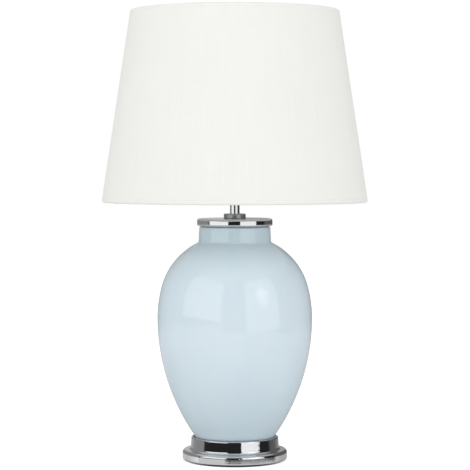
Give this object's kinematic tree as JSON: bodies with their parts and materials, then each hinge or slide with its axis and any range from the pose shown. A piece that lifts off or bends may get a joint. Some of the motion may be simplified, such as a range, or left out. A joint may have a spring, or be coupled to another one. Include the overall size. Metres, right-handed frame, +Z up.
{
  "type": "table lamp",
  "caption": "Table lamp with a glazed baluster jar on a stepped chrome plinth, a chrome cap and stem, and a tapered drum fabric shade over a screw lampholder.",
  "frame": {"origin": "on the table under the lamp's vertical axis, at the centre of the felt's underside", "axes": "+Z up along the rod, -Y to the front, +Y to the back where the cable inlet is, +X to the right along the switch's push bar"},
  "size_m": [0.3556, 0.3556, 0.6025],
  "materials": {
    "shade_cloth": "plain weave, off-white",
    "shade_film": "translucent white film",
    "shade_wire": "white powder coat",
    "glaze": "pale grey-blue gloss glaze",
    "chrome": "polished plate",
    "thread_steel": "zinc-plated",
    "holder_moulding": "moulded, white",
    "holder_core": "unglazed",
    "contact_brass": "bright",
    "bush_rubber": "moulded",
    "felt": "wool felt",
    "fibreboard": "pressed board",
    "gasket_foam": "closed-cell foam",
    "lead_sheath": "white sheath",
    "live_insulation": "brown insulation",
    "neutral_insulation": "blue insulation",
    "globe_opal": "opal, satin",
    "lamp_moulding": "moulded, white",
    "lamp_cap_metal": "nickel-plated",
    "lamp_insulator": "black glass",
    "led_board": "white board"
  },
  "bodies": {
    "stand": {"base_felt": "felt", "bottom_plate": "fibreboard", "plinth": "chrome", "inlet_grommet": "bush_rubber", "base_washer": "thread_steel", "base_nut": "thread_steel", "threaded_rod": "thread_steel", "foot_gasket": "gasket_foam", "jar": "glaze", "cap_seal": "gasket_foam", "jar_cap": "chrome", "cap_centring_ring": "lamp_moulding", "collar_nut": "chrome", "rod_sleeve": "chrome", "holder_dome": "holder_moulding", "holder_grub_screw": "thread_steel", "holder_skirt": "holder_moulding", "holder_core": "holder_core", "lamp_screw_shell": "contact_brass", "centre_contact": "contact_brass", "holder_terminals": "contact_brass", "terminal_screw_pair": "thread_steel", "switch_contact_leaves": "contact_brass", "inner_lead": "lead_sheath", "live_core": "live_insulation", "neutral_core": "neutral_insulation"},
    "shade": {"shade_fabric": "shade_cloth", "shade_liner": "shade_film", "shade_bottom_wire": "shade_wire", "shade_top_wire": "shade_wire", "shade_spokes": "shade_wire", "fitter_plate": "shade_wire"},
    "clamp_ring": {"shade_clamp_ring": "holder_moulding"},
    "lamp": {"lamp_end_contact": "contact_brass", "lamp_insulator": "lamp_insulator", "lamp_screw_cap": "lamp_cap_metal", "lamp_collar": "lamp_moulding", "lamp_board": "led_board", "lamp_globe": "globe_opal"},
    "push_bar": {"switch_push_bar": "holder_moulding"}
  },
  "joints": [
    {"name": "shade_swivel", "type": "hinge", "parent": "stand", "child": "shade", "pos_m": [0, 0, 0.38], "axis": [0, 0, 1], "continuous": true},
    {"name": "clamp_ring_unscrew", "type": "slide", "parent": "stand", "child": "clamp_ring", "axis": [0, 0, 1], "range_m": [0, 0.028]},
    {"name": "lamp_unscrew", "type": "slide", "parent": "stand", "child": "lamp", "axis": [0, 0, 1], "range_m": [0, 0.25]},
    {"name": "switch_push", "type": "slide", "parent": "stand", "child": "push_bar", "axis": [-1, 0, 0], "range_m": [0, 0.005]}
  ]
}
